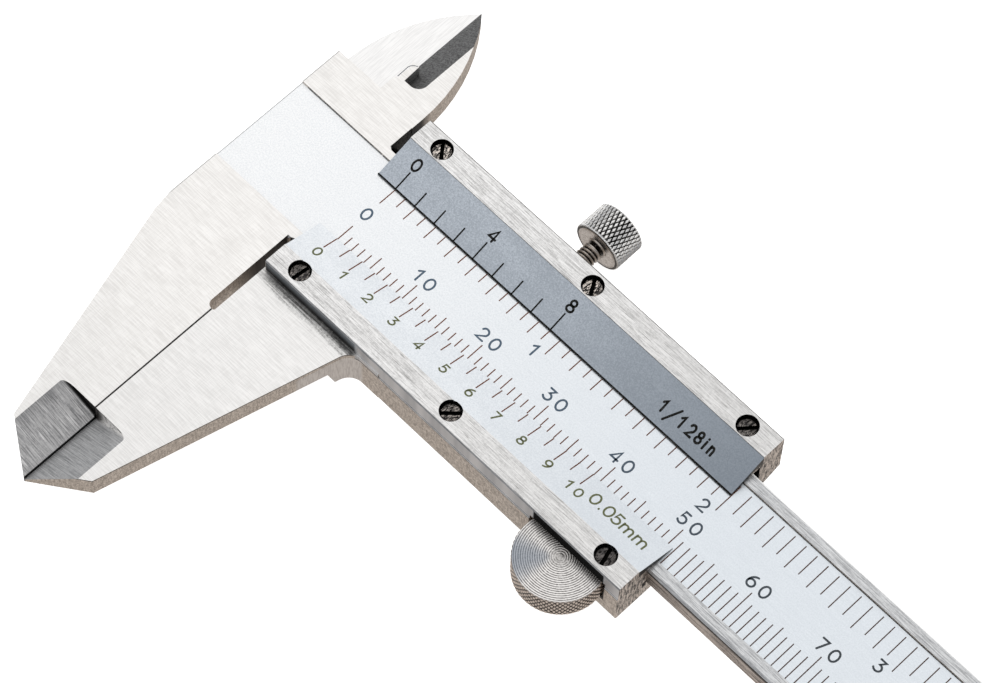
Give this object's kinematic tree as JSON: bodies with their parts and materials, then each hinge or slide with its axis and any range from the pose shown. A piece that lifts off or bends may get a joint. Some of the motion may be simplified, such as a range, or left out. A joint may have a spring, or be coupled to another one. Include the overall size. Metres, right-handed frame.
{
  "type": "vernier caliper",
  "caption": "Slide caliper with outside jaws, inside jaws, depth rod, metric and inch vernier scales, thumb roller and knurled locking screw.",
  "frame": {"origin": "point on the slider's back face under the beam's centre line, in the plane where the closed outside jaws meet", "axes": "+X along the beam away from the head, +Y towards the inside jaws, +Z out of the scale face"},
  "size_m": [0.2306, 0.075, 0.0075],
  "materials": {
    "ground_steel": "ground, fine grain along the beam",
    "satin_chrome": "satin chrome plate",
    "grey_chrome": "matte grey plate",
    "black_steel": "black oxide",
    "bronze": "plain",
    "bright_steel": "drawn",
    "spring_steel": "rolled",
    "plated_knurl": "plated over knurling and turning"
  },
  "bodies": {
    "beam": {"beam": "ground_steel", "end_stop_plate": "ground_steel", "end_stop_screws": "black_steel"},
    "slider": {"slider_body": "ground_steel", "metric_vernier_plate": "satin_chrome", "inch_vernier_plate": "grey_chrome", "metric_plate_screws": "black_steel", "inch_plate_screws": "black_steel", "gib_strip": "bronze", "gib_adjusting_screws": "black_steel", "depth_rod": "bright_steel", "depth_rod_holder": "bright_steel", "depth_rod_rivets": "bright_steel", "holder_screws": "black_steel", "roller_arm": "spring_steel", "roller_arm_screws": "black_steel", "roller_axle": "bright_steel", "roller_spacer": "bronze"},
    "thumb_roller": {"thumb_roller": "plated_knurl"},
    "lock_pad": {"lock_pad": "bronze"},
    "lock_screw": {"lock_stud": "black_steel", "lock_knob": "plated_knurl"}
  },
  "joints": [
    {"name": "slider_travel", "type": "slide", "parent": "beam", "child": "slider", "axis": [1, 0, 0], "range_m": [0, 0.15]},
    {"name": "roller_turn", "type": "hinge", "parent": "slider", "child": "thumb_roller", "pos_m": [0.04645, -0.0134, 0.0041], "axis": [0, 0, 1], "continuous": true},
    {"name": "lock_pad_travel", "type": "slide", "parent": "slider", "child": "lock_pad", "axis": [0, -1, 0], "range_m": [-0.00045, 0.00025]},
    {"name": "lock_screw_turn", "type": "hinge", "parent": "lock_pad", "child": "lock_screw", "pos_m": [0.02305, 0.0157, 0.0041], "axis": [0, -1, 0], "range_deg": [-361, 201]}
  ],
  "couplings": [
    {"joint": "roller_turn", "follows": "slider_travel", "rad_per_m": 185.19},
    {"joint": "lock_screw_turn", "follows": "lock_pad_travel", "rad_per_m": 13963}
  ]
}
